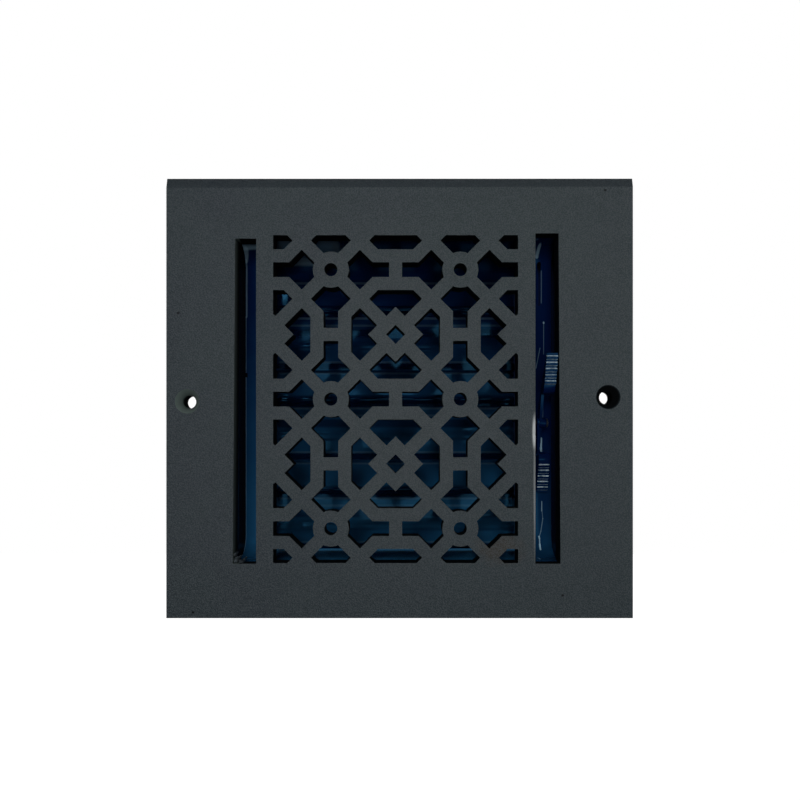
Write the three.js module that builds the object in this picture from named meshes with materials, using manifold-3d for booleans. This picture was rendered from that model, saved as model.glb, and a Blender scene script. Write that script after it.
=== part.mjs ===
// Air vent grille: a cast plate with a pierced lattice, and a sheet-metal damper behind it.
// Millimetres. +X is to the right of a person in the room, +Y goes into the wall, +Z is up.
// The origin is the middle of the plate, in the plane of the wall that the plate's rim lies on.

import * as THREE from 'three';
import { mergeVertices } from 'three/addons/utils/BufferGeometryUtils.js';
import Module from 'manifold-3d';

const wasm = await Module();
wasm.setup();

// Cast plate
const plateWidth = 203.2;
const plateHeight = 191.8;
const rimThickness = 8;
const backRecess = 1.7;
const recessWidth = 156;
const recessHeight = 156;
const bevelWidthLeft = 4.4;
const bevelWidthRight = 3.8;
const bevelDepth = 0.8;

// Lattice of rings, diamonds and bars, in the middle field
const fieldWidth = 106.7;
const fieldHeight = 142.8;
const fieldShiftX = -1.75;
const fieldShiftZ = -0.5;
const latticePitch = 56.4;
const barWidth = 5.7;
const channelWidth = 6.4;
const bendReach = 12.68;
const ringRadius = 7.9;
const ringHoleRadius = 2.85;
const diamondReach = 12;
const diamondHoleReach = 4.15;

// Slots beside the field, and the holes for the wall screws
const leftSlotInnerX = -62.5;
const leftSlotWidth = 9.1;
const leftSlotTopZ = 69.4;
const leftSlotDrift = 1.1;
const rightSlotInnerX = 59.15;
const rightSlotWidth = 10.1;
const rightSlotTopZ = 71.7;
const rightSlotDrift = 0.8;
const slotBottomZ = -72.2;
const wallScrewLeftInset = 9;
const wallScrewLeftZ = -1.5;
const wallScrewRightInset = 10.7;
const wallScrewRightZ = 0.4;
const wallScrewBore = 5.8;
const countersinkDiameter = 10.7;
const countersinkAngle = 82;

// Sheet-metal box that stands in the duct
const sheet = 0.9;
const boxShiftX = -0.5;
const boxSize = 148.6;
const boxBackY = 42;
const gap = 0.3;

// Pivot channels, left and right, bent from sheet
const leftChannelInner = 61.9;
const rightChannelInner = 58.9;
const channelOuter = 71.8;
const channelFaceY = 9.3;
const channelSideDepth = 25;
const channelSideHeight = 142;
const endBendRadius = 10;
const footBendRadius = 1;
const footLength = 10.5;
const pocketDepth = 1.7;
const pocketPlay = 0.5;
const slitHeadWidth = 1.9;
const slitHeadLength = 6.5;
const slitWidth = 1.1;
const slitLength = 20.5;
const slitX = 65.6;
const slitTopZ = 65.5;
const notchZ = 12.4;
const notchWidth = 2;
const notchDepth = 0.9;

// Screws that hold the channels' feet to the plate
const screwHeadDiameter = 6;
const screwHeadThickness = 1.5;
const screwShankDiameter = 2.8;
const screwLength = 5;
const driverSlotWidth = 0.9;
const driverSlotDepth = 0.6;

// Louvre blades
const louvreSheet = 0.8;
const louvrePitch = 45.2;
const louvreMiddleZ = -4.5;
const louvreBelow = 22.8;
const louvreAbove = 24.6;
const lipHeight = 3.1;
const lipOffset = 1.7;
const joggleHeight = 1.3;
const beadHeights = [7, -11.7];
const beadWidth = 4.4;
const beadRise = 1.1;
const louvreRows = [-1, 0, 1];
const louvreEndGap = 0.9;
const endDiscRadius = 4.6;
const pivotDiameter = 3;
const pivotPlay = 0.4;

// Cranks, tie bar and thumb lever
const crankRadius = 6.8;
const louvreHalfSwing = 36;
const leverHalfSwing = 14.5;
const crankSheet = 1.2;
const crankWidth = 5;
const crankGap = 0.5;
const linkPinDiameter = 2.4;
const linkSlotPlay = 0.8;
const tieBarSheet = 1;
const tieBarEdge = 2.2;
const leverPivotY = 3.9;
const leverPivotZ = -10.3;
const leverLeftX = 63.8;
const leverWidth = 5;
const leverSheet = 1.2;
const leverArmWidth = 5;
const padFaceOffset = 4.96;
const padInner = 16.5;
const padOuter = 32;
const padBendRadius = 2.6;
const ribCount = 5;
const ribPitch = 2.7;
const ribMiddle = 24.6;
const ribFoot = 1.9;
const ribCrest = 1.1;
const ribRise = 0.6;
const webFront = 1.5;
const hubRadius = 2.5;
const hubLength = 3;
const sideBackReach = 6;
const leverPinDiameter = 2.2;
const leverPinHead = 4;
const leverPinHeadThickness = 0.8;
const pinPlay = 0.35;
const earSheet = 0.9;
const earRadius = 2.9;
const earBelow = 15.2;
const earGap = 0.4;
const armWindowPlay = 1;

// Roundness of the facets, and how far a cutter runs past what it cuts
const ringSides = 24;
const pinSides = 16;
const smallSides = 12;
const bendSteps = 8;
const smallBendSteps = 4;
const over = 1;
const weld = 1e-4;

// Places worked out from the driving sizes
const frontY = -rimThickness;
const recessY = -backRecess;
const boxHalf = boxSize / 2;
const boxInnerHalf = boxHalf - sheet;
const channelBackY = channelFaceY + sheet;
const footFrontY = recessY - pocketDepth + gap;
const footBackY = footFrontY + sheet;
const footEndZ = boxInnerHalf + footLength;
const footScrewZ = boxHalf + footLength / 2 - sheet / 2;
const louvreSwing = THREE.MathUtils.degToRad(louvreHalfSwing);
const leverSwing = THREE.MathUtils.degToRad(leverHalfSwing);
const tieBarStroke = 2 * crankRadius * Math.sin(louvreSwing);
const leverArm = tieBarStroke / (2 * Math.sin(leverSwing));
const tieBarY = leverPivotY + (leverArm * (1 + Math.cos(leverSwing))) / 2;
const louvreAxisY = tieBarY + (crankRadius * (1 + Math.cos(louvreSwing))) / 2;
const wallScrewLeftX = -plateWidth / 2 + wallScrewLeftInset;
const wallScrewRightX = plateWidth / 2 - wallScrewRightInset;
const crankStartX = rightChannelInner + sheet + crankGap;
const crankEndX = crankStartX + crankSheet;
const tieBarStartX = crankEndX + crankGap;
const tieBarEndX = tieBarStartX + tieBarSheet;
const leverStartX = leverLeftX - boxShiftX;
const leftEarX = leverStartX - earGap - earSheet;
const hubEndX = leverStartX + hubLength;

const castIron = { color: 0x34383b, roughness: 0.62, metalness: 0.35 };
const paintedSheet = { color: 0x0b1b2d, roughness: 0.28, metalness: 0.45 };
const zincScrew = { color: 0x2a2d30, roughness: 0.45, metalness: 0.7 };

function solidOf(geometry) {
  const bare = geometry.clone();
  bare.deleteAttribute('normal');
  bare.deleteAttribute('uv');
  const welded = mergeVertices(bare, weld);
  return new wasm.Manifold(
    new wasm.Mesh({
      numProp: 3,
      vertProperties: new Float32Array(welded.attributes.position.array),
      triVerts: new Uint32Array(welded.index.array),
    }),
  );
}

function geometryOf(solid) {
  const mesh = solid.asOriginal().getMesh();
  const geometry = new THREE.BufferGeometry();
  geometry.setAttribute('position', new THREE.BufferAttribute(mesh.vertProperties, 3));
  geometry.setIndex(new THREE.BufferAttribute(mesh.triVerts, 1));
  geometry.computeVertexNormals();
  return geometry;
}

function joined(solids) {
  return solids.reduce((whole, solid) => whole.add(solid));
}

function cut(solid, cutters) {
  return cutters.reduce((rest, cutter) => rest.subtract(cutter), solid);
}

function point(x, y) {
  return new THREE.Vector2(x, y);
}

function rectangle(left, right, bottom, top) {
  return new THREE.Shape([point(left, bottom), point(right, bottom), point(right, top), point(left, top)]);
}

function circle(x, y, radius, sides) {
  return new THREE.Shape(new THREE.EllipseCurve(x, y, radius, radius).getPoints(sides).slice(0, -1));
}

function diamond(x, y, reach) {
  const corners = [point(x - reach, y), point(x, y - reach), point(x + reach, y), point(x, y + reach)];
  return new THREE.Shape(corners);
}

// Points along part of a circle, its angles in degrees
function arc(x, y, radius, startAngle, endAngle, steps) {
  const start = THREE.MathUtils.degToRad(startAngle);
  const end = THREE.MathUtils.degToRad(endAngle);
  return new THREE.EllipseCurve(x, y, radius, radius, start, end, end < start).getPoints(steps);
}

// Outline of a strip of even width along a path, with mitred corners
function ribbon(path, width) {
  const side = (sign) =>
    path.map((here, i) => {
      const into = i > 0 ? here.clone().sub(path[i - 1]).normalize() : null;
      const out = i < path.length - 1 ? path[i + 1].clone().sub(here).normalize() : null;
      const along = (into ?? out).clone().add(out ?? into).normalize();
      const reach = (sign * width) / 2 / along.dot(out ?? into);
      return point(here.x - along.y * reach, here.y + along.x * reach);
    });
  return new THREE.Shape([...side(-1), ...side(1).reverse()]);
}

// A shape drawn in X and Z, as seen from the room, made solid from one depth to another
function slab(shape, startY, endY) {
  const geometry = new THREE.ExtrudeGeometry(shape, { depth: endY - startY, bevelEnabled: false });
  geometry.rotateX(Math.PI / 2);
  geometry.translate(0, endY, 0);
  return solidOf(geometry);
}

// A shape drawn in Y and Z, as seen from the side, made solid from one X to another
function profile(shape, startX, endX) {
  const geometry = new THREE.ExtrudeGeometry(shape, { depth: endX - startX, bevelEnabled: false });
  const turn = new THREE.Matrix4().makeBasis(
    new THREE.Vector3(0, 1, 0),
    new THREE.Vector3(0, 0, 1),
    new THREE.Vector3(1, 0, 0),
  );
  geometry.applyMatrix4(turn);
  geometry.translate(startX, 0, 0);
  return solidOf(geometry);
}

// A round pin along X
function pin(y, z, diameter, startX, endX, sides = pinSides) {
  const geometry = new THREE.CylinderGeometry(diameter / 2, diameter / 2, endX - startX, sides);
  geometry.rotateZ(Math.PI / 2);
  geometry.translate((startX + endX) / 2, y, z);
  return solidOf(geometry);
}

// A solid turned about an axis along Y, from pairs of radius and depth that start and end on the axis
function turned(x, z, steps, sides) {
  const points = steps.map(([radius, y]) => point(radius, y));
  const geometry = new THREE.LatheGeometry(points, sides);
  geometry.translate(x, 0, z);
  return solidOf(geometry);
}

// The lattice repeats about each ring: a spoke runs from the ring to each diamond, and a bar
// with two bends crosses it, its ends joining the upright and level pairs of bars. Diamonds that
// the field's edge halves have no hole.
function lattice() {
  const half = latticePitch / 2;
  const barAxis = (channelWidth + barWidth) / 2;
  const bendAxis = 2 * bendReach - barAxis;
  const quarters = [[1, 1], [-1, 1], [-1, -1], [1, -1]];
  const solids = [];
  const holes = [];
  const add = (shape) => solids.push(slab(shape, frontY, recessY));
  for (const column of [-1, 1]) {
    for (const row of [-1, 0, 1]) {
      const x = column * half;
      const z = row * latticePitch;
      add(circle(x, z, ringRadius, ringSides));
      holes.push(slab(circle(x, z, ringHoleRadius, ringSides), frontY - over, recessY + over));
      for (const [right, up] of quarters) {
        const at = (across, rise) => point(x + right * across, z + up * rise);
        const bentBar = [at(barAxis, half + over), at(barAxis, bendAxis)];
        bentBar.push(at(bendAxis, barAxis), at(half + over, barAxis));
        add(ribbon([at(0, 0), at(half, half)], barWidth));
        add(ribbon(bentBar, barWidth));
      }
      for (const side of [-1, 1]) {
        add(ribbon([point(x - barAxis, z + side * half), point(x + barAxis, z + side * half)], barWidth));
        add(ribbon([point(x + side * half, z - barAxis), point(x + side * half, z + barAxis)], barWidth));
      }
    }
  }
  for (const column of [-1, 0, 1]) {
    for (const row of [-1.5, -0.5, 0.5, 1.5]) {
      const x = column * latticePitch;
      const z = row * latticePitch;
      add(diamond(x, z, diamondReach));
      const whole = Math.abs(x) + diamondReach < fieldWidth / 2;
      if (whole) holes.push(slab(diamond(x, z, diamondHoleReach), frontY - over, recessY + over));
    }
  }
  const inField = rectangle(
    -fieldWidth / 2 - over,
    fieldWidth / 2 + over,
    -fieldHeight / 2 - over,
    fieldHeight / 2 + over,
  );
  const pierced = cut(joined(solids), holes).intersect(slab(inField, frontY - over, recessY + over));
  return pierced.translate([fieldShiftX, 0, fieldShiftZ]);
}

function wallScrewHole(x, z) {
  const bore = wallScrewBore / 2;
  const mouth = countersinkDiameter / 2;
  const slope = Math.tan(THREE.MathUtils.degToRad(countersinkAngle / 2));
  const steps = [
    [0, frontY - over],
    [mouth + over * slope, frontY - over],
    [bore, frontY + (mouth - bore) / slope],
    [bore, over],
    [0, over],
  ];
  return turned(x, z, steps, ringSides);
}

// The top edge is dressed to a shallow bevel that narrows from left to right
function topBevelCutter() {
  const left = new THREE.Vector3(-plateWidth / 2, frontY, plateHeight / 2 - bevelWidthLeft);
  const right = new THREE.Vector3(plateWidth / 2, frontY, plateHeight / 2 - bevelWidthRight);
  const back = new THREE.Vector3(0, frontY + bevelDepth, plateHeight / 2);
  const along = right.clone().sub(left);
  const outward = along.clone().cross(back.clone().sub(left)).normalize();
  outward.multiplyScalar(-Math.sign(outward.y));
  const thickness = 2 * rimThickness;
  const geometry = new THREE.BoxGeometry(2 * plateWidth, thickness, thickness);
  const across = along.clone().normalize();
  const third = across.clone().cross(outward);
  geometry.translate(0, thickness / 2, 0);
  geometry.applyMatrix4(new THREE.Matrix4().makeBasis(across, outward, third));
  const middle = left.clone().add(right).multiplyScalar(0.5).add(back).multiplyScalar(0.5);
  geometry.translate(middle.x, middle.y, middle.z);
  return solidOf(geometry);
}

function leftSlot() {
  const outer = leftSlotInnerX - leftSlotWidth;
  return new THREE.Shape([
    point(outer - leftSlotDrift, slotBottomZ),
    point(leftSlotInnerX, slotBottomZ),
    point(leftSlotInnerX, leftSlotTopZ),
    point(outer, leftSlotTopZ),
  ]);
}

function rightSlot() {
  const outer = rightSlotInnerX + rightSlotWidth;
  return new THREE.Shape([
    point(rightSlotInnerX, slotBottomZ),
    point(outer + rightSlotDrift, slotBottomZ),
    point(outer, rightSlotTopZ),
    point(rightSlotInnerX, rightSlotTopZ),
  ]);
}

// How far a channel's inner edge is from the box's middle: the left one stands closer to its wall
function channelInner(side) {
  return side < 0 ? leftChannelInner : rightChannelInner;
}

function footScrewX(side) {
  return boxShiftX + (side * (channelInner(side) + channelOuter)) / 2;
}

// The two X values of a piece of the left or right channel, lowest first
function sideRange(side, inner, outer) {
  const ends = [boxShiftX + side * inner, boxShiftX + side * outer];
  return ends.sort((a, b) => a - b);
}

// Where a channel's foot lies in the back of the plate, with the blind hole for its screw
function footSeat(side, up) {
  const [left, right] = sideRange(side, channelInner(side) - pocketPlay, channelOuter + pocketPlay);
  const ends = [up * (boxInnerHalf - gap - sheet - pocketPlay), up * (footEndZ + pocketPlay)];
  const [bottom, top] = ends.sort((a, b) => a - b);
  const pocket = slab(rectangle(left, right, bottom, top), recessY - pocketDepth, over);
  const hole = slab(
    circle(footScrewX(side), up * footScrewZ, screwShankDiameter / 2 + gap, smallSides),
    footBackY - screwLength,
    over,
  );
  return joined([pocket, hole]);
}

function grillePlate() {
  const halfWidth = plateWidth / 2;
  const halfHeight = plateHeight / 2;
  const blank = slab(rectangle(-halfWidth, halfWidth, -halfHeight, halfHeight), frontY, 0);
  const recess = rectangle(-recessWidth / 2, recessWidth / 2, -recessHeight / 2, recessHeight / 2);
  const field = rectangle(
    fieldShiftX - fieldWidth / 2,
    fieldShiftX + fieldWidth / 2,
    fieldShiftZ - fieldHeight / 2,
    fieldShiftZ + fieldHeight / 2,
  );
  const cutters = [
    slab(recess, recessY, over),
    slab(field, frontY - over, over),
    slab(leftSlot(), frontY - over, over),
    slab(rightSlot(), frontY - over, over),
    wallScrewHole(wallScrewLeftX, wallScrewLeftZ),
    wallScrewHole(wallScrewRightX, wallScrewRightZ),
    topBevelCutter(),
  ];
  for (const side of [-1, 1]) {
    for (const up of [-1, 1]) cutters.push(footSeat(side, up));
  }
  return cut(blank, cutters).add(lattice());
}

// Box of four walls, and the stop lip that the top louvre closes against
function damperBox() {
  const startY = recessY + gap;
  const wall = (half, endY, from) => slab(rectangle(-half, half, -half, half), from, endY);
  const shell = wall(boxHalf, boxBackY, startY).subtract(wall(boxInnerHalf, boxBackY + over, startY - over));
  const stopBottom = louvreAxisZ(1) + louvrePitch - louvreBelow;
  const stopFront = louvreAxisY - louvreSheet / 2;
  const [stopLeft, stopRight] = [gap - leftChannelInner, rightChannelInner - gap];
  const stopShape = rectangle(stopLeft, stopRight, stopBottom, boxInnerHalf + sheet / 2);
  const stop = slab(stopShape, stopFront, stopFront + sheet);
  return shell.add(stop).translate([boxShiftX, 0, 0]);
}

// The bent front strip of a channel, drawn from the side
function channelStrip() {
  const faceY = channelFaceY + sheet / 2;
  const endZ = boxInnerHalf - gap - sheet / 2;
  const bendY = faceY - endBendRadius;
  const footY = footFrontY + sheet / 2;
  const bend = arc(bendY, endZ - endBendRadius, endBendRadius, 0, 90, bendSteps);
  const foot = arc(footY + footBendRadius, endZ + footBendRadius, footBendRadius, -90, -180, smallBendSteps);
  const upper = [...bend, ...foot, point(footY, footEndZ)];
  const lower = upper.map((p) => point(p.x, -p.y)).reverse();
  return ribbon([...lower, ...upper], sheet);
}

function pivotChannel(side) {
  const [left, right] = sideRange(side, channelInner(side), channelOuter);
  const [wallLeft, wallRight] = sideRange(side, channelInner(side), channelInner(side) + sheet);
  const halfHeight = channelSideHeight / 2;
  const wallEnd = channelFaceY + channelSideDepth;
  const wallShape = rectangle(channelFaceY, wallEnd, -halfHeight, halfHeight);
  let channel = profile(channelStrip(), left, right).add(profile(wallShape, wallLeft, wallRight));
  const bore = pivotDiameter + 2 * pivotPlay;
  const cutters = louvreRows.map((row) =>
    pin(louvreAxisY, louvreAxisZ(row), bore, wallLeft - over, wallRight + over),
  );
  for (const up of [-1, 1]) {
    const hole = circle(footScrewX(side), up * footScrewZ, screwShankDiameter / 2 + gap, smallSides);
    cutters.push(slab(hole, footFrontY - over, footBackY + over));
  }
  if (side < 0) {
    const notch = rectangle(left - over, left + notchDepth, notchZ - notchWidth / 2, notchZ + notchWidth / 2);
    cutters.push(slab(notch, channelFaceY - over, channelBackY + over));
    return cut(channel, cutters);
  }
  channel = channel.add(profile(earShape(), boxShiftX + leftEarX, boxShiftX + leftEarX + earSheet));
  cutters.push(slab(armWindow(), channelFaceY - over, channelBackY + over));
  cutters.push(slab(slit(), channelFaceY - endBendRadius, channelBackY + over));
  const pinBore = leverPinDiameter + 2 * pinPlay;
  const boreStart = boxShiftX + leftEarX - over;
  const boreEnd = boxShiftX + leftEarX + earSheet + over;
  cutters.push(pin(leverPivotY, leverPivotZ, pinBore, boreStart, boreEnd));
  return cut(channel, cutters);
}

// A long ear stands forward from the channel's face, its upper end round about the lever's pin
function earShape() {
  const round = arc(leverPivotY, leverPivotZ, earRadius, 90, 180, bendSteps);
  const rootY = channelFaceY + sheet / 2;
  const lowZ = leverPivotZ - earBelow;
  const rest = [
    point(leverPivotY - earRadius, lowZ + earRadius),
    point(leverPivotY, lowZ),
    point(rootY, lowZ),
    point(rootY, leverPivotZ + earRadius),
  ];
  return new THREE.Shape([...round, ...rest]);
}

// The lever's arm swings in a window of the channel's face, beside the left ear
function armWindow() {
  const left = boxShiftX + leftEarX + earSheet;
  const right = boxShiftX + leverStartX + leverSheet + gap;
  const depth = channelBackY - leverPivotY;
  const reach = leverArmWidth / 2 / Math.cos(leverSwing) + depth * Math.tan(leverSwing) + armWindowPlay;
  return rectangle(left, right, leverPivotZ - reach, leverPivotZ + reach);
}

// A stamped slit in the upper part of the right channel, with a round head that tapers into it
function slit() {
  const head = slitHeadWidth / 2;
  const half = slitWidth / 2;
  const bottomZ = slitTopZ - slitLength;
  const taperZ = slitTopZ - slitHeadLength;
  const round = arc(slitX, slitTopZ - head, head, 0, 180, bendSteps);
  const left = [point(slitX - half, taperZ), point(slitX - half, bottomZ)];
  const right = [point(slitX + half, bottomZ), point(slitX + half, taperZ)];
  return new THREE.Shape([...round, ...left, ...right]);
}

function louvreAxisZ(row) {
  return louvreMiddleZ + row * louvrePitch;
}

// A blade, drawn from the side about its pivots: flat sheet with two beads and a joggled top lip
function louvreShape() {
  const path = [point(0, -louvreBelow)];
  for (const height of [...beadHeights].sort((a, b) => a - b)) {
    const half = beadWidth / 2;
    const radius = (half * half + beadRise * beadRise) / (2 * beadRise);
    const swing = THREE.MathUtils.radToDeg(Math.asin(half / radius));
    path.push(...arc(radius - beadRise, height, radius, 180 + swing, 180 - swing, smallBendSteps));
  }
  const lipBottom = louvreAbove - lipHeight;
  path.push(point(0, lipBottom - joggleHeight), point(-lipOffset, lipBottom), point(-lipOffset, louvreAbove));
  return ribbon(path, louvreSheet);
}

function louvre() {
  const left = louvreEndGap - leftChannelInner;
  const right = rightChannelInner - louvreEndGap;
  const blade = profile(louvreShape(), left, right);
  const disc = (x) => pin(0, 0, 2 * endDiscRadius, x, x + louvreSheet, ringSides);
  const leftPivotEnd = -leftChannelInner - sheet - crankGap;
  const leftPivot = pin(0, 0, pivotDiameter, leftPivotEnd, left + louvreSheet / 2);
  const rightPivot = pin(0, 0, pivotDiameter, right - louvreSheet / 2, crankEndX);
  const tip = point(-crankRadius * Math.cos(louvreSwing), crankRadius * Math.sin(louvreSwing));
  const crank = [
    profile(ribbon([point(0, 0), tip], crankWidth), crankStartX, crankEndX),
    pin(0, 0, crankWidth, crankStartX, crankEndX),
    pin(tip.x, tip.y, crankWidth, crankStartX, crankEndX),
    pin(tip.x, tip.y, linkPinDiameter, crankEndX - crankSheet / 2, tieBarEndX + crankGap),
  ];
  return joined([blade, disc(left), disc(right - louvreSheet), leftPivot, rightPivot, ...crank]);
}

// Flat bar with a level slot for each crank's pin and one for the lever's pin
function tieBar() {
  const swingY = (crankRadius * (1 - Math.cos(louvreSwing))) / 2;
  const centreY = louvreAxisY - (crankRadius * (1 + Math.cos(louvreSwing))) / 2;
  const slotHeight = linkPinDiameter + linkSlotPlay;
  const slotHalf = swingY + slotHeight / 2;
  const halfWidth = slotHalf + tieBarEdge;
  const heights = louvreRows.map((row) => louvreAxisZ(row) + crankRadius * Math.sin(louvreSwing));
  const margin = slotHeight / 2 + tieBarEdge;
  const ends = [Math.min(...heights) - margin, Math.max(...heights) + margin];
  const startX = boxShiftX + tieBarStartX;
  const endX = boxShiftX + tieBarEndX;
  const bar = profile(rectangle(centreY - halfWidth, centreY + halfWidth, ...ends), startX, endX);
  heights.push(leverPivotZ + leverArm * Math.sin(leverSwing));
  const cutters = heights.map((z) => {
    const right = arc(centreY + swingY, z, slotHeight / 2, -90, 90, bendSteps);
    const left = arc(centreY - swingY, z, slotHeight / 2, 90, 270, bendSteps);
    return profile(new THREE.Shape([...right, ...left]), startX - over, endX + over);
  });
  return cut(bar, cutters);
}

// The rocker, drawn from the side about its pin with its pads upright: the pads face -Y
function padStrip(up) {
  const middle = -padFaceOffset + leverSheet / 2;
  const startAngle = up > 0 ? 270 : 90;
  const bend = arc(middle + padBendRadius, up * padInner, padBendRadius, 180, startAngle, smallBendSteps);
  return ribbon([point(middle, up * padOuter), ...bend], leverSheet);
}

// A flat-topped rib across a pad, its foot set into the pad's sheet
function rib(z) {
  const footY = -padFaceOffset + leverSheet / 2;
  const crestY = -padFaceOffset - ribRise;
  return new THREE.Shape([
    point(footY, z + ribFoot / 2),
    point(-padFaceOffset, z + ribFoot / 2),
    point(crestY, z + ribCrest / 2),
    point(crestY, z - ribCrest / 2),
    point(-padFaceOffset, z - ribFoot / 2),
    point(footY, z - ribFoot / 2),
  ]);
}

function thumbLever() {
  const startX = 0;
  const solids = [];
  for (const up of [-1, 1]) {
    solids.push(profile(padStrip(up), startX, leverWidth));
    for (let i = 0; i < ribCount; i += 1) {
      const z = up * (ribMiddle + ribPitch * (i - (ribCount - 1) / 2));
      solids.push(profile(rib(z), startX, leverWidth));
    }
  }
  const backPad = -padFaceOffset + leverSheet / 2;
  const side = new THREE.Shape([
    point(backPad, padOuter),
    point(backPad, padInner),
    point(-webFront, padInner - padBendRadius),
    point(-webFront, -padInner + padBendRadius),
    point(backPad, -padInner),
    point(backPad, -padOuter),
    point(hubRadius, -sideBackReach),
    point(hubRadius, sideBackReach),
  ]);
  solids.push(profile(side, startX, leverSheet));
  solids.push(pin(0, 0, 2 * hubRadius, startX, hubLength));
  solids.push(profile(ribbon([point(0, 0), point(leverArm, 0)], leverArmWidth), startX, leverSheet));
  solids.push(pin(leverArm, 0, leverArmWidth, startX, leverSheet));
  const linkEnd = tieBarStartX - crankGap / 2 - leverStartX;
  solids.push(pin(leverArm, 0, linkPinDiameter, linkEnd, leverSheet / 2));
  const bore = pin(0, 0, leverPinDiameter + 2 * pinPlay, startX - over, hubLength + over);
  return joined(solids).subtract(bore);
}

// Headed pin through the ear and the rocker's hub
function leverPin() {
  const start = leftEarX - gap;
  const end = hubEndX + gap;
  return joined([
    pin(0, 0, leverPinDiameter, start - leverPinHeadThickness / 2, end + leverPinHeadThickness / 2),
    pin(0, 0, leverPinHead, start - leverPinHeadThickness, start),
    pin(0, 0, leverPinHead, end, end + leverPinHeadThickness),
  ]);
}

// A low round-headed screw with a driver slot, its head towards +Y
function damperScrew() {
  const headStart = footBackY + gap;
  const headEnd = headStart + screwHeadThickness;
  const head = screwHeadDiameter / 2;
  const shank = screwShankDiameter / 2;
  const steps = [
    [0, headStart - screwLength],
    [shank, headStart - screwLength],
    [shank, headStart],
    [head, headStart],
    [head, headEnd - screwHeadThickness / 2],
    [head - screwHeadThickness / 2, headEnd],
    [0, headEnd],
  ];
  const slot = rectangle(-head - over, head + over, -driverSlotWidth / 2, driverSlotWidth / 2);
  return turned(0, 0, steps, smallSides).subtract(slab(slot, headEnd - driverSlotDepth, headEnd + over));
}

const vent = new THREE.Group();

function addPiece(name, solid, look, place = [0, 0, 0], turn = 0) {
  const mesh = new THREE.Mesh(geometryOf(solid), new THREE.MeshStandardMaterial(look));
  mesh.name = name;
  mesh.position.set(...place);
  mesh.rotation.x = turn;
  vent.add(mesh);
}

addPiece('grille_plate', grillePlate(), castIron);
addPiece('damper_box', damperBox(), paintedSheet);
for (const [sideName, side] of [['left', -1], ['right', 1]]) {
  addPiece(`pivot_channel_${sideName}`, pivotChannel(side), paintedSheet);
  for (const [endName, up] of [['top', 1], ['bottom', -1]]) {
    const place = [footScrewX(side), 0, up * footScrewZ];
    addPiece(`damper_screw_${endName}_${sideName}`, damperScrew(), zincScrew, place);
  }
}
for (const [rowName, row] of [['top', 1], ['middle', 0], ['bottom', -1]]) {
  addPiece(`louvre_${rowName}`, louvre(), paintedSheet, [boxShiftX, louvreAxisY, louvreAxisZ(row)]);
}
addPiece('tie_bar', tieBar(), paintedSheet);
addPiece('thumb_lever', thumbLever(), paintedSheet, [leverLeftX, leverPivotY, leverPivotZ], leverSwing);
addPiece('lever_pin', leverPin(), zincScrew, [boxShiftX, leverPivotY, leverPivotZ]);

export default vent;
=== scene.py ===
import math

import bmesh
import bpy
from mathutils import Matrix, Vector, noise


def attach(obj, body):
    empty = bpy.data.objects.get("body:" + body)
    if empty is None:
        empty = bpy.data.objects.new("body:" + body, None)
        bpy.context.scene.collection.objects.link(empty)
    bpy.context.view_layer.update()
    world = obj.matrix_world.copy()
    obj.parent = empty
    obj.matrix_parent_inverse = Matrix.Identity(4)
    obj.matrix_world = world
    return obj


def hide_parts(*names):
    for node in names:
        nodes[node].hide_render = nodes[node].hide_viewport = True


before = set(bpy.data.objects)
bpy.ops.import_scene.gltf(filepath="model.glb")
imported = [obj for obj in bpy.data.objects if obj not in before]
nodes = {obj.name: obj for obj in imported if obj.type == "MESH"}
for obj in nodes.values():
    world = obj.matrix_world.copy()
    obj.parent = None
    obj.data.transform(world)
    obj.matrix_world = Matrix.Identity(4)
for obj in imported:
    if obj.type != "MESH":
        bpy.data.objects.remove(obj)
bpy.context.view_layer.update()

# The view: a close camera square to the wall, a little below the middle of the vent, with the
# picture cropped higher than the lens points.
MM = 0.001
LENS_AXIS_X = -0.7 * MM
LENS_AXIS_Z = -20.5 * MM
LENS_Y = -224 * MM
SENSOR_WIDTH = 36
FOCAL_LENGTH = 22.32
CROP_RIGHT, CROP_UP = 0.0025, 0.0563

camera_data = bpy.data.cameras.new("photo_camera")
camera = bpy.data.objects.new("photo_camera", camera_data)
bpy.context.scene.collection.objects.link(camera)
bpy.context.scene.camera = camera
camera.location = (LENS_AXIS_X, LENS_Y, LENS_AXIS_Z)
camera.rotation_euler = (math.radians(90), 0, 0)
camera_data.sensor_width = SENSOR_WIDTH
camera_data.lens = FOCAL_LENGTH
camera_data.shift_x = CROP_RIGHT
camera_data.shift_y = CROP_UP
camera_data.clip_start = 0.01
bpy.context.scene.view_settings.view_transform = "Standard"

# The studio: softboxes on the right, in front, low down and behind the wall, a small lamp that only
# glints in the gloss paint, a table top and a card that show nowhere but in that paint, and a pale
# floor well below the vent.
COOL_WHITE = (0.94, 0.98, 1.0)


def softbox(name, place, size, power, tint=(1, 1, 1)):
    light = bpy.data.lights.new(name, "AREA")
    light.shape = "DISK"
    light.size = size
    light.energy = power
    light.color = tint
    lamp = bpy.data.objects.new(name, light)
    bpy.context.scene.collection.objects.link(lamp)
    lamp.location = place
    lamp.rotation_euler = (-Vector(place)).to_track_quat("-Z", "Y").to_euler()
    return lamp


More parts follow.
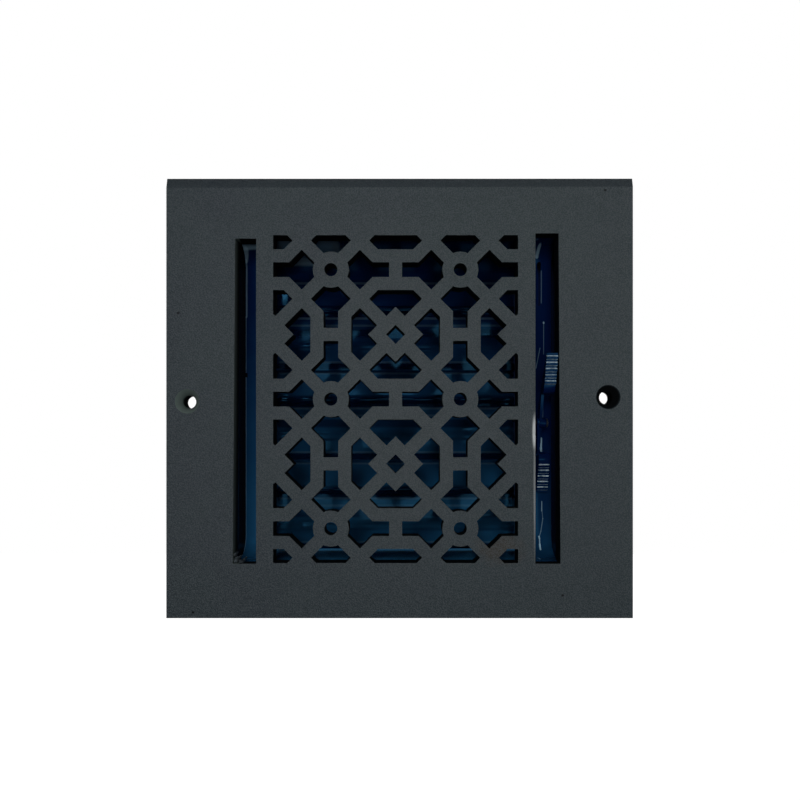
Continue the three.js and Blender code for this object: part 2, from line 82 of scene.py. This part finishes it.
softbox("right_softbox", place=(0.85, -1.2, 0.5), size=0.5, power=2.6, tint=(0.97, 0.99, 1.0))
front_light = softbox("front_softbox", place=(-0.1, -0.82, 0.26), size=0.35, power=3.0, tint=COOL_WHITE)
low_light = softbox("low_softbox", place=(0.05, -0.9, -0.24), size=0.3, power=1.7, tint=COOL_WHITE)
small_light = softbox("small_lamp", place=(-0.25, -0.85, 0.42), size=0.1, power=0.12, tint=(0.9, 0.98, 1.0))
back_light = softbox("back_softbox", place=(-0.8, 1.2, 0.7), size=0.8, power=22)
small_light.visible_diffuse = False
for light in (front_light, low_light, back_light):
    light.visible_glossy = False


def link_mesh(name, mesh):
    piece = bpy.data.objects.new(name, mesh)
    bpy.context.scene.collection.objects.link(piece)
    return piece


def card_of(name, x, y, z):
    """A flat four-sided card, from the ends of its reach along each axis."""
    (left, right), (near, far), (low, high) = x, y, z
    mesh = bpy.data.meshes.new(name)
    corners = [(left, near, low), (right, near, low), (right, far, high), (left, far, high)]
    mesh.from_pydata(corners, [], [(0, 1, 2, 3)])
    card = link_mesh(name, mesh)
    return card


def glowing_white(name, glow):
    material = bpy.data.materials.new(name)
    material.use_nodes = True
    shader = material.node_tree.nodes["Principled BSDF"]
    shader.inputs["Base Color"].default_value = (0, 0, 0, 1)
    shader.inputs["Roughness"].default_value = 0.8
    shader.inputs["Emission Color"].default_value = (1, 1, 1, 1)
    shader.inputs["Emission Strength"].default_value = glow
    return material


FLOOR_Z = -0.95
TABLE_Z = -0.16
CARD_Y = -1.2

studio_floor = card_of("studio_floor", x=(-4, 4), y=(-4, 4), z=(FLOOR_Z, FLOOR_Z))
studio_floor.data.materials.append(glowing_white("pale_floor", 1.1))
studio_floor.visible_diffuse = False
studio_floor.visible_glossy = False
table_top = card_of("table_top", x=(-0.9, 0.9), y=(-2.2, -0.35), z=(TABLE_Z, TABLE_Z))
table_top.data.materials.append(glowing_white("white_table", 0.6))
front_card = card_of("front_card", x=(-0.3, 0.33), y=(CARD_Y, CARD_Y), z=(0.25, 0.36))
front_card.data.materials.append(glowing_white("white_card", 0.9))
for card in (table_top, front_card):
    card.visible_diffuse = False
    card.visible_camera = False
    card.visible_shadow = False

ROOM_LIGHT = 0.01
room = bpy.data.worlds.new("studio_room")
bpy.context.scene.world = room
room.use_nodes = True
room_nodes = room.node_tree.nodes
room_links = room.node_tree.links
dim_walls = room_nodes["Background"]
dim_walls.inputs["Color"].default_value = (0.8, 0.9, 1.0, 1)
dim_walls.inputs["Strength"].default_value = ROOM_LIGHT
white_walls = room_nodes.new("ShaderNodeBackground")
white_walls.inputs["Color"].default_value = (1, 1, 1, 1)
seen_walls = room_nodes.new("ShaderNodeMixShader")
ray_kind = room_nodes.new("ShaderNodeLightPath")
room_links.new(ray_kind.outputs["Is Camera Ray"], seen_walls.inputs["Fac"])
room_links.new(dim_walls.outputs["Background"], seen_walls.inputs[1])
room_links.new(white_walls.outputs["Background"], seen_walls.inputs[2])
room_links.new(seen_walls.outputs["Shader"], room_nodes["World Output"].inputs["Surface"])

# The grille plate: one sand casting in grey iron under a satin black powder coat. It is screwed to
# the wall and carries the damper. Its edges and the corners of its openings should be softened by
# the mould, but on so fine a lattice the overlap clamp takes both roundings to almost nothing.
EDGE_ROUND = 0.45 * MM
CORNER_ROUND = 1.1 * MM
ROUND_STEPS = 3
SAME_PLACE = 0.001 * MM
SAME_PLANE = math.radians(1)
CORNER_BEND = math.radians(30)
RIM_BEND = math.radians(35)
FLAT_ENOUGH = 0.9995


def softened_casting(name, source):
    shape = bmesh.new()
    shape.from_mesh(source.data)
    bmesh.ops.remove_doubles(shape, verts=shape.verts, dist=SAME_PLACE)
    bmesh.ops.dissolve_limit(shape, angle_limit=SAME_PLANE, verts=shape.verts, edges=shape.edges)
    corners = []
    for edge in shape.edges:
        along = (edge.verts[1].co - edge.verts[0].co).normalized()
        if abs(along.y) > 0.99 and edge.is_manifold and edge.calc_face_angle() > CORNER_BEND:
            corners.append(edge)
    rounded = {"segments": ROUND_STEPS, "profile": 0.5, "affect": "EDGES", "clamp_overlap": True}
    bmesh.ops.bevel(shape, geom=corners, offset=CORNER_ROUND, **rounded)
    rims = [e for e in shape.edges if e.is_manifold and e.calc_face_angle() > RIM_BEND]
    bmesh.ops.bevel(shape, geom=rims, offset=EDGE_ROUND, **rounded)
    mesh = bpy.data.meshes.new(name)
    shape.to_mesh(mesh)
    shape.free()
    for face in mesh.polygons:
        face.use_smooth = abs(face.normal.y) < FLAT_ENOUGH
    return link_mesh(name, mesh)


class Coat:
    """A material built up in nodes, in metres in the vent's own frame."""

    def __init__(self, name):
        self.material = bpy.data.materials.new(name)
        self.material.use_nodes = True
        self.tree = self.material.node_tree
        self.shader = self.tree.nodes["Principled BSDF"]
        self.place = self.add("ShaderNodeTexCoord").outputs["Object"]

    def add(self, kind, **settings):
        node = self.tree.nodes.new(kind)
        for key, value in settings.items():
            setattr(node, key, value)
        return node

    def join(self, source, target):
        self.tree.links.new(source, target)

    def feed(self, target, value):
        if isinstance(value, bpy.types.NodeSocket):
            self.join(value, target)
        else:
            target.default_value = value

    def math(self, operation, first, second=0.0):
        node = self.add("ShaderNodeMath", operation=operation)
        for target, value in zip(node.inputs, (first, second)):
            self.feed(target, value)
        return node.outputs[0]

    def ramp(self, value, low, high, to_low=0.0, to_high=1.0):
        node = self.add("ShaderNodeMapRange", interpolation_type="SMOOTHSTEP")
        for key, given in (
            ("Value", value), ("From Min", low), ("From Max", high), ("To Min", to_low), ("To Max", to_high)
        ):
            self.feed(node.inputs[key], given)
        return node.outputs["Result"]

    def mix(self, share, first, second):
        node = self.add("ShaderNodeMix", data_type="RGBA")
        self.feed(node.inputs[0], share)
        for target, color in ((node.inputs[6], first), (node.inputs[7], second)):
            self.feed(target, color if isinstance(color, bpy.types.NodeSocket) else (*color, 1))
        return node.outputs[2]

    def cloud(self, size, detail=2.0, stretch=(1, 1, 1)):
        """Noise whose lumps are about size across, from 0 to 1."""
        where = self.add("ShaderNodeVectorMath", operation="MULTIPLY")
        self.join(self.place, where.inputs[0])
        where.inputs[1].default_value = stretch
        node = self.add("ShaderNodeTexNoise")
        self.join(where.outputs[0], node.inputs["Vector"])
        node.inputs["Scale"].default_value = 1 / size
        node.inputs["Detail"].default_value = detail
        return node.outputs["Fac"]

    def pebbles(self, size):
        """Rounded cells about size across: 0 in the middle of each, towards 1 between them."""
        node = self.add("ShaderNodeTexVoronoi", feature="SMOOTH_F1")
        self.join(self.place, node.inputs["Vector"])
        node.inputs["Scale"].default_value = 1 / size
        node.inputs["Smoothness"].default_value = 0.6
        return node.outputs["Distance"]

    def axes(self):
        node = self.add("ShaderNodeSeparateXYZ")
        self.join(self.place, node.inputs[0])
        return node.outputs

    def length(self, across, up):
        squares = self.math("ADD", self.math("MULTIPLY", across, across), self.math("MULTIPLY", up, up))
        return self.math("SQRT", squares)

    def patch(self, x, z, reach_x, reach_z, ragged=0.0):
        """1 inside an ellipse on the front, in mm, fading to 0 at its edge, which may be ragged."""
        across, _, up = self.axes()
        from_x = self.math("DIVIDE", self.math("SUBTRACT", across, x * MM), reach_x * MM)
        from_z = self.math("DIVIDE", self.math("SUBTRACT", up, z * MM), reach_z * MM)
        away = self.length(from_x, from_z)
        if ragged:
            away = self.math("ADD", away, self.math("MULTIPLY", self.cloud(4 * MM), ragged))
            away = self.math("SUBTRACT", away, ragged / 2)
        return self.ramp(away, 0.3, 1.0, 1.0, 0.0)

    def line(self, start, end, width):
        """1 along a straight line on the front, between two points in mm, fading to 0 at width."""
        across, _, up = self.axes()
        run, rise = (end[0] - start[0]) * MM, (end[1] - start[1]) * MM
        from_x = self.math("SUBTRACT", across, start[0] * MM)
        from_z = self.math("SUBTRACT", up, start[1] * MM)
        along = self.math("ADD", self.math("MULTIPLY", from_x, run), self.math("MULTIPLY", from_z, rise))
        share = self.math("DIVIDE", along, run * run + rise * rise)
        share = self.math("MINIMUM", self.math("MAXIMUM", share, 0.0), 1.0)
        off_x = self.math("SUBTRACT", from_x, self.math("MULTIPLY", share, run))
        off_z = self.math("SUBTRACT", from_z, self.math("MULTIPLY", share, rise))
        return self.ramp(self.length(off_x, off_z), 0.4 * width * MM, width * MM, 1.0, 0.0)

    def raise_by(self, height, depth):
        """Bump from a height of 0 to 1 that is depth deep."""
        node = self.add("ShaderNodeBump")
        node.inputs["Distance"].default_value = depth
        self.join(height, node.inputs["Height"])
        self.join(node.outputs["Normal"], self.shader.inputs["Normal"])

    def set(self, **values):
        for key, value in values.items():
            self.feed(self.shader.inputs[key.replace("_", " ")], value)


COAT_BLUISH = (0.031, 0.037, 0.044)
COAT_GREENISH = (0.033, 0.043, 0.046)
COAT_BROWNISH = (0.040, 0.034, 0.029)
COAT_PAINTED_LIGHT_ON_LATTICE = (0.042, 0.050, 0.054)
COAT_SPECK = (0.078, 0.090, 0.096)
COAT_LOW = (0.020, 0.026, 0.031)
COAT_PAINTED_SHADE = (0.0025, 0.003, 0.0035)
COAT_PAINTED_LIGHT_ON_WALL = (0.10, 0.125, 0.115)
BAND_LEFT_Z, BAND_RIGHT_Z = 91.6 * MM, 92.1 * MM
PLATE_HALF_WIDTH = 101.6 * MM
COAT_WORN_AND_HIGHLIGHT = (0.55, 0.56, 0.56)
PITS = [(89.5, 90.5), (-90.0, -93.4), (-96.5, 37.0), (71.0, -86.0)]
PIT_REACH = (0.9, 0.7)
PIT_RAGGED = 0.5
GRAIN_SIZE, FINE_GRAIN_SIZE = 0.75 * MM, 0.4 * MM
GRAIN_SHARE, FINE_GRAIN_SHARE = 0.8, 0.35
GRAIN_DEPTH = 0.17 * MM
SPECK_SIZE = 0.45 * MM
DRIFT_SIZE = 30 * MM
GLOSS_DRIFT_SIZE = 3 * MM
GREENISH_TO_RIGHT = (-80 * MM, 70 * MM)
LOW_BORDER_PAINTED_SHADE = (-60 * MM, -98 * MM)
RUBBED_HIGHLIGHT_STRENGTH = 0.3
# Patches of another tone, some of them painted light, in mm: middle across and up, reach across and up, and
# how ragged.
LATTICE_PAINTED_LIGHT_PATCH = (-1.75, -0.5, 75, 95, 0.3)
UPPER_RIGHT_PATCH = (50, 66, 60, 40, 0.4)
SMEAR_PATCH = (44, -66, 13, 9, 0.9)
# The patch and the streak below it, on the right slot's edge beside the lever, are worn coat and also a
# painted highlight on that edge.
WORN_HIGHLIGHT_PATCH = (58.8, -15, 1.4, 10)
RUBBED_HIGHLIGHT_PATCH = (58.8, -39, 0.7, 36)


def powder_coat(name, edge_highlight_share=0.0):
    coat = Coat(name)
    across, _, up = coat.axes()
    grain = coat.pebbles(GRAIN_SIZE)
    fine = coat.cloud(FINE_GRAIN_SIZE)
    drift = coat.cloud(DRIFT_SIZE)
    to_right = coat.ramp(across, *GREENISH_TO_RIGHT)
    color = coat.mix(coat.ramp(drift, 0.35, 0.65, 0.0, 0.6), COAT_BLUISH, COAT_GREENISH)
    color = coat.mix(coat.math("MULTIPLY", to_right, 0.5), color, COAT_GREENISH)
    # Painted light: the coat is lighter over the middle of the plate, where the lattice is.
    color = coat.mix(coat.patch(*LATTICE_PAINTED_LIGHT_PATCH), color, COAT_PAINTED_LIGHT_ON_LATTICE)
    color = coat.mix(coat.patch(*UPPER_RIGHT_PATCH), color, COAT_GREENISH)
    # Painted shade: the coat darkens towards the bottom edge.
    color = coat.mix(coat.ramp(up, *LOW_BORDER_PAINTED_SHADE, 0.0, 0.4), color, COAT_LOW)
    color = coat.mix(coat.patch(*SMEAR_PATCH), color, COAT_BROWNISH)
    speck = coat.ramp(coat.cloud(SPECK_SIZE, detail=1.0), 0.38, 0.62, 0.0, 0.62)
    color = coat.mix(speck, color, COAT_SPECK)
    slope = (BAND_RIGHT_Z - BAND_LEFT_Z) / (2 * PLATE_HALF_WIDTH)
    from_left = coat.math("ADD", across, PLATE_HALF_WIDTH)
    above = coat.math("SUBTRACT", up, coat.math("MULTIPLY", from_left, slope))
    band = coat.ramp(above, BAND_LEFT_Z - 0.2 * MM, BAND_LEFT_Z + 0.1 * MM, 0.0, 0.5)
    color = coat.mix(band, color, COAT_LOW)
    # Painted shade: each pit is painted as a dark spot.
    for x, z in PITS:
        color = coat.mix(coat.patch(x, z, *PIT_REACH, PIT_RAGGED), color, COAT_PAINTED_SHADE)
    # Worn coat on the right slot's edge, which is also a painted highlight running down the edge.
    rubbed_highlight = coat.math("MULTIPLY", coat.patch(*RUBBED_HIGHLIGHT_PATCH), RUBBED_HIGHLIGHT_STRENGTH)
    worn_highlight = coat.math("MAXIMUM", coat.patch(*WORN_HIGHLIGHT_PATCH), rubbed_highlight)
    # Painted highlight: faces of the rim take edge_highlight_share of the light colour.
    color = coat.mix(coat.math("MAXIMUM", worn_highlight, edge_highlight_share), color, COAT_WORN_AND_HIGHLIGHT)
    coarse_height = coat.math("MULTIPLY", grain, GRAIN_SHARE)
    fine_height = coat.math("MULTIPLY", fine, FINE_GRAIN_SHARE)
    coat.raise_by(coat.math("ADD", coarse_height, fine_height), GRAIN_DEPTH)
    roughness = coat.ramp(coat.cloud(GLOSS_DRIFT_SIZE), 0.3, 0.7, 0.5, 0.62)
    coat.set(Base_Color=color, Roughness=roughness, Specular_IOR_Level=0.35)
    return coat.material


LEFT_WALL = (-69.5 * MM, -70.5 * MM)
PAINTED_SHADE_STARTS = -8.1 * MM
PAINTED_SHADE_FULL, PAINTED_SHADE_FULL_ON_LEFT_WALL = -7.3 * MM, -2.5 * MM
WALL_GRAIN_SIZE, WALL_GRAIN_DEPTH = 1.3 * MM, 0.1 * MM


def painted_shade_coat():
    """The walls of the openings, dull and painted black as the shade deep in them, apart from the
    left slot's outer wall, which is painted lighter towards its mouth as light that falls on it."""
    coat = Coat("painted_shade_in_openings")
    across, depth, _ = coat.axes()
    shade_full = coat.ramp(across, *LEFT_WALL, PAINTED_SHADE_FULL, PAINTED_SHADE_FULL_ON_LEFT_WALL)
    at_mouth = coat.mix(coat.ramp(across, *LEFT_WALL), COAT_LOW, COAT_PAINTED_LIGHT_ON_WALL)
    color = coat.mix(coat.ramp(depth, PAINTED_SHADE_STARTS, shade_full), at_mouth, COAT_PAINTED_SHADE)
    coat.raise_by(coat.pebbles(WALL_GRAIN_SIZE), WALL_GRAIN_DEPTH)
    coat.set(Base_Color=color, Roughness=0.8, Specular_IOR_Level=0.08)
    return coat.material


RIM_LEAST, RIM_MOST = 0.3, 0.97
WALL_SCREW_HOLES = [(-92.6, -1.5), (90.9, 0.4)]
COUNTERSINK_REACH = 5.5
COUNTERSINK_LEAN = 0.8
OPENINGS_REACH = 76


def on_rim(face):
    """Whether a face is the shallow bevel along the top of the plate, or a slope like it."""
    return RIM_LEAST < abs(face.normal.y) < RIM_MOST


def in_opening(face):
    """Whether a face of the casting is a wall of the pierced field or a slot, or a countersink."""
    x, _, z = face.center / MM
    if any(math.hypot(x - hole_x, z - hole_z) < COUNTERSINK_REACH for hole_x, hole_z in WALL_SCREW_HOLES):
        return abs(face.normal.y) < COUNTERSINK_LEAN
    return abs(face.normal.y) < RIM_LEAST and abs(x) < OPENINGS_REACH and abs(z) < OPENINGS_REACH


plate = softened_casting("cast_grille", nodes["grille_plate"])
even_shading = plate.modifiers.new("even_shading", "WEIGHTED_NORMAL")
even_shading.keep_sharp = True
cast_finish = powder_coat("satin_black_powder_coat")
plate.data.materials.append(cast_finish)
# The second material is the painted shade on the walls of the openings and in the countersinks.
plate.data.materials.append(painted_shade_coat())
# The third material is the coat with a painted highlight, for the rim faces.
plate.data.materials.append(powder_coat("powder_coat_painted_edge_highlight", edge_highlight_share=0.05))
for face in plate.data.polygons:
    face.material_index = 1 if in_opening(face) else 2 if on_rim(face) else 0
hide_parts("grille_plate")
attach(plate, "vent")

# Flash from the mould that was never dressed off: a rough lump of iron in the lower outer corner
# of the left slot, with crumbs beside it, coated over with the plate.
FLASH_Y = -4.6
FLASH_DEPTH = 2.6
FLASH_BUMP_SIZE = 1.2 * MM
FLASH_BUMP = 0.25 * MM
FLASH_LUMPS = [  # middle across and up, reach across and up, in mm
    (-72.0, -71.3, 1.3, 1.6),
    (-72.3, -68.6, 0.6, 0.9),
    (-69.8, -71.9, 1.3, 0.6),
    (-68.2, -70.6, 0.35, 0.4),
    (-70.4, -69.8, 0.4, 0.5),
]


def casting_flash(name):
    shape = bmesh.new()
    for x, z, reach_x, reach_z in FLASH_LUMPS:
        scale = Matrix.Diagonal((reach_x * MM, FLASH_DEPTH * MM, reach_z * MM, 1))
        place = Matrix.Translation(Vector((x, FLASH_Y, z)) * MM) @ scale
        lump = bmesh.ops.create_icosphere(shape, subdivisions=4, radius=1.0, matrix=place)
        for vertex in lump["verts"]:
            push = noise.noise(vertex.co / FLASH_BUMP_SIZE) * FLASH_BUMP
            vertex.co += vertex.normal * push
    mesh = bpy.data.meshes.new(name)
    shape.to_mesh(mesh)
    shape.free()
    for face in mesh.polygons:
        face.use_smooth = True
    return link_mesh(name, mesh)


flash = casting_flash("casting_flash")
flash.data.materials.append(cast_finish)
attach(flash, "vent")

# The damper box: four walls of folded sheet steel that stand in the duct, stoved with gloss
# blue-black paint. The insides of the two side walls are painted darker and made dull as painted shade.
PAINT_NAVY = (0.001, 0.0062, 0.034)
PAINT_TEAL = (0.008, 0.052, 0.115)
PAINT_SHEEN = (0.12, 0.55, 1.0)
# Colours for painted highlights and for painted shade.
PAINT_HIGHLIGHT = (0.33, 0.5, 0.6)
PAINT_SHADE = (0.0006, 0.002, 0.014)
PAINT_IOR, SHADED_SIDES_IOR = 1.6, 1.12
FLOW_SIZE, PEEL_SIZE = 22 * MM, 2.2 * MM
FLOW_SHARE, PEEL_SHARE = 3.0, 0.25
PEEL_DEPTH = 0.04
TEAL_CLOUD_SIZE, TEAL_SWAY = 14 * MM, 40 * MM
GLOSS_CLOUD_SIZE = 6 * MM
LOUVRE_PITCH = 45.2
LOUVRE_MIDDLE_Z = -4.5
SHEET_ROUND = 0.2 * MM
SHEET_BEND = math.radians(40)


def blue_black(name, teal_top=60, teal_bottom=-95, marks=(), bow=0.0, low=PAINT_TEAL, ior=PAINT_IOR):
    """The paint: navy at teal_top, turning to the low colour by teal_bottom, both in mm; that change with
    height is painted light and shade.

    Each mark has a start, an end and a width in mm, and a strength: above 0 for a painted highlight,
    below 0 for a painted dark band. Bow is how far, in mm, the sheet is bent over each louvre's height.
    """
    coat = Coat(name)
    flow = coat.math("MULTIPLY", coat.cloud(FLOW_SIZE, detail=1.0, stretch=(1, 1, 0.35)), FLOW_SHARE)
    peel = coat.math("MULTIPLY", coat.cloud(PEEL_SIZE, detail=1.0), PEEL_SHARE)
    height = coat.math("ADD", flow, peel)
    _, _, up = coat.axes()
    uneven = coat.math("MULTIPLY", coat.math("SUBTRACT", coat.cloud(TEAL_CLOUD_SIZE), 0.5), TEAL_SWAY)
    teal = coat.ramp(coat.math("ADD", up, uneven), teal_top * MM, teal_bottom * MM)
    color = coat.mix(teal, PAINT_NAVY, low)
    roughness = coat.ramp(coat.cloud(GLOSS_CLOUD_SIZE, detail=4.0), 0.3, 0.75, 0.07, 0.17)
    for start, end, width, strength in marks:
        share = coat.math("MULTIPLY", coat.line(start, end, width), abs(strength))
        color = coat.mix(share, color, PAINT_HIGHLIGHT if strength > 0 else PAINT_SHADE)
    if bow:
        from_axis = coat.math("SUBTRACT", up, LOUVRE_MIDDLE_Z * MM)
        turns = coat.math("MULTIPLY", from_axis, 2 * math.pi / (LOUVRE_PITCH * MM))
        bend = coat.math("MULTIPLY", coat.math("SINE", turns), bow / PEEL_DEPTH)
        height = coat.math("ADD", height, bend)
    coat.raise_by(height, PEEL_DEPTH * MM)
    coat.set(Base_Color=color, Roughness=roughness, Specular_Tint=(*PAINT_SHEEN, 1), IOR=ior)
    return coat.material


def deburr_and_coat(node, finish):
    """Dresses a metal node as it is: facets joined, edges rounded, shading evened, finish put on."""
    weld = node.modifiers.new("weld", "WELD")
    weld.merge_threshold = SAME_PLACE
    edge = node.modifiers.new("soft_edges", "BEVEL")
    edge.width = SHEET_ROUND
    edge.segments = 2
    edge.limit_method = "ANGLE"
    edge.angle_limit = SHEET_BEND
    edge.harden_normals = False
    shading = node.modifiers.new("even_shading", "WEIGHTED_NORMAL")
    shading.keep_sharp = True
    for face in node.data.polygons:
        face.use_smooth = True
    node.data.materials.clear()
    node.data.materials.append(finish)


# A light streak under the top wall of the box, at the left: a painted reflection.
BOX_PAINTED_REFLECTION = [((-60, 72.0), (-30, 72.0), 3.2, 0.3)]
BOX_BOTTOM_Z = -72 * MM
BOTTOM_PAINTED_LIGHT_TEAL = (0.02, 0.13, 0.26)
FACING = 0.9
box = nodes["damper_box"]
box_paint = blue_black(
    "gloss_blue_black_box", teal_top=20, teal_bottom=-120, marks=BOX_PAINTED_REFLECTION, low=PAINT_NAVY
)
# Painted light: the upward face of the box's bottom is painted a lighter teal.
lit_bottom_paint = blue_black("gloss_blue_black_painted_light_bottom", teal_top=200, teal_bottom=100, low=BOTTOM_PAINTED_LIGHT_TEAL)
# Painted shade: the insides of the side walls are painted darker and made dull.
shaded_side_paint = blue_black(
    "blue_black_painted_shade_sides", teal_top=20, teal_bottom=-120, low=PAINT_SHADE, ior=SHADED_SIDES_IOR
)
deburr_and_coat(box, box_paint)
box.data.materials.append(lit_bottom_paint)
box.data.materials.append(shaded_side_paint)
for face in box.data.polygons:
    bottom = face.normal.z > FACING and face.center.z < BOX_BOTTOM_Z
    inner_side = abs(face.normal.x) > FACING and face.normal.x * face.center.x < 0
    face.material_index = 1 if bottom else 2 if inner_side else 0

# The two pivot channels: folded strips that carry the louvres' pivots and show in the side slots.
# Their rounded ends come forward to feet under the plate. The light lines on both, the wavy one low on
# the right included, are painted highlights and reflections. Each mark has its start, end, width and
# strength, in mm across and up the front.
LEFT_PAINTED_HIGHLIGHTS = [
    ((-72.3, -70), (-72.3, 40), 0.4, 0.2),
    ((-72.3, 40), (-72.3, 66), 1.1, 0.2),
    ((-72.3, 66), (-71.2, 70), 1.6, 0.3),
    ((-72, 70.8), (-65, 71.2), 1.4, 0.35),
    ((-72.0, -72.8), (-64.5, -72.8), 0.4, 0.5),
]
RIGHT_PAINTED_HIGHLIGHTS = [
    ((66.9, -47.0), (66.9, -51.5), 0.3, 0.5),
    ((67.0, -51.5), (67.4, -55.0), 0.25, 0.2),
    ((67.4, -55.0), (66.5, -61.0), 0.3, 0.25),
    ((66.5, -61.0), (65.7, -63.8), 0.25, 0.35),
    ((65.6, -63.5), (65.8, -64.4), 0.45, 0.9),
    ((65.8, -64.8), (65.7, -67.0), 0.35, 0.8),
    ((65.7, -67.0), (65.6, -69.0), 0.5, 1.0),
    ((67.8, 22.3), (67.8, 37.2), 0.3, 0.12),
    ((67.8, 36.8), (67.8, 37.2), 0.5, 0.4),
    ((67.4, -11.0), (67.4, 1.6), 0.3, 0.12),
    ((66.1, 25.1), (64.2, 15.7), 0.3, 0.15),
    ((66.7, 46.3), (66.7, 61.4), 0.3, 0.15),
    ((66.6, -17.4), (66.5, -25.4), 0.65, 0.6),
    ((64.2, 67.5), (64.4, 71.0), 1.0, 0.4),
    ((63.0, -72.8), (70.5, -72.8), 0.4, 0.6),
]
left_paint = blue_black("gloss_blue_black_left", marks=LEFT_PAINTED_HIGHLIGHTS)
right_paint = blue_black("gloss_blue_black_right", teal_top=-15, teal_bottom=-110, marks=RIGHT_PAINTED_HIGHLIGHTS)
deburr_and_coat(nodes["pivot_channel_left"], left_paint)
deburr_and_coat(nodes["pivot_channel_right"], right_paint)

# The louvres, pressed from thinner sheet with two stiffening beads and a joggled top lip, and the
# flat tie bar that turns them together. Same paint. The dark bands and light lines across each louvre
# are painted reflections.
LOUVRE_HALF_LENGTH = 60
LOUVRE_BOW = 0.25
LOUVRE_PAINTED_REFLECTIONS = [  # height above the louvre's axis and width, in mm, and strength
    (5.5, 4.2, -0.9),
    (-5.0, 3.0, -0.7),
    (-21.8, 2.6, -0.9),
    (2.4, 0.8, 0.08),
    (-1.2, 0.8, 0.06),
    (-19.6, 0.8, 0.06),
    (20.0, 0.7, 0.08),
]
louvre_painted_reflections = []
for axis_z in (LOUVRE_MIDDLE_Z + LOUVRE_PITCH, LOUVRE_MIDDLE_Z, LOUVRE_MIDDLE_Z - LOUVRE_PITCH):
    for above_axis, width, strength in LOUVRE_PAINTED_REFLECTIONS:
        z = axis_z + above_axis
        louvre_painted_reflections.append(((-LOUVRE_HALF_LENGTH, z), (LOUVRE_HALF_LENGTH, z), width, strength))
louvre_paint = blue_black(
    "gloss_blue_black_louvres", teal_top=75, teal_bottom=-75, marks=louvre_painted_reflections, bow=LOUVRE_BOW
)
for name in ("louvre_top", "louvre_middle", "louvre_bottom", "tie_bar"):
    deburr_and_coat(nodes[name], louvre_paint)

# The thumb lever: a rocker folded from sheet, with five ribs pressed across each thumb pad. The
# ribs' edges are grey steel where thumbs have rubbed the paint off, and light enough to be also a painted
# highlight.
REST_TILT = -14.5
RIB_SLOPE = 56.3
RIB_SLOPE_ROOM = 4
PADS_START = 15 * MM
LEVER_PIN_Z = -10.3 * MM
STEEL_SMUDGED = (0.12, 0.17, 0.21)
STEEL_BARE_AND_HIGHLIGHT = (0.5, 0.58, 0.62)
SMUDGE_SIZE = 1.5 * MM
SCOUR_SIZE, SCOUR_DEPTH = 0.3 * MM, 0.01 * MM


# Worn steel for the rib edges, also a painted highlight on them.
def worn_steel_with_highlight():
    coat = Coat("steel_worn_bare_and_highlight")
    wear = coat.ramp(coat.cloud(SMUDGE_SIZE, detail=3.0), 0.35, 0.6)
    color = coat.mix(wear, STEEL_SMUDGED, STEEL_BARE_AND_HIGHLIGHT)
    coat.raise_by(coat.cloud(SCOUR_SIZE), SCOUR_DEPTH)
    coat.set(Base_Color=color, Roughness=0.38, Metallic=0.2)
    return coat.material


def rib_edge(face):
    """Whether a face is the sloping edge of a rib, known by its lean and its place on a pad."""
    lean = math.degrees(math.atan2(face.normal.z, -face.normal.y)) - REST_TILT
    on_pad = abs(face.center.z - LEVER_PIN_Z) > PADS_START
    return on_pad and abs(face.normal.x) < 0.1 and abs(abs(lean) - RIB_SLOPE) < RIB_SLOPE_ROOM


lever = nodes["thumb_lever"]
deburr_and_coat(lever, blue_black("gloss_blue_black_lever", teal_top=-25, teal_bottom=-90))
lever.data.materials.append(worn_steel_with_highlight())
for face in lever.data.polygons:
    face.material_index = 1 if rib_edge(face) else 0

# The screws that hold the channels' feet to the plate, and the pin that the lever rocks on:
# blackened steel with faint turning marks.
STEEL_BLACKENED = (0.05, 0.052, 0.055)
STEEL_TURNED = (0.12, 0.12, 0.125)
TURNING_SIZE, TURNING_DEPTH = 0.6 * MM, 0.02 * MM


def blackened_steel():
    coat = Coat("blackened_steel")
    marks = coat.cloud(TURNING_SIZE, detail=3.0, stretch=(1, 6, 1))
    color = coat.mix(coat.ramp(marks, 0.35, 0.7), STEEL_BLACKENED, STEEL_TURNED)
    coat.raise_by(marks, TURNING_DEPTH)
    coat.set(Base_Color=color, Roughness=coat.ramp(marks, 0.3, 0.7, 0.3, 0.5), Metallic=0.85)
    return coat.material


steel = blackened_steel()
for name in nodes:
    if "screw" in name or name == "lever_pin":
        deburr_and_coat(nodes[name], steel)
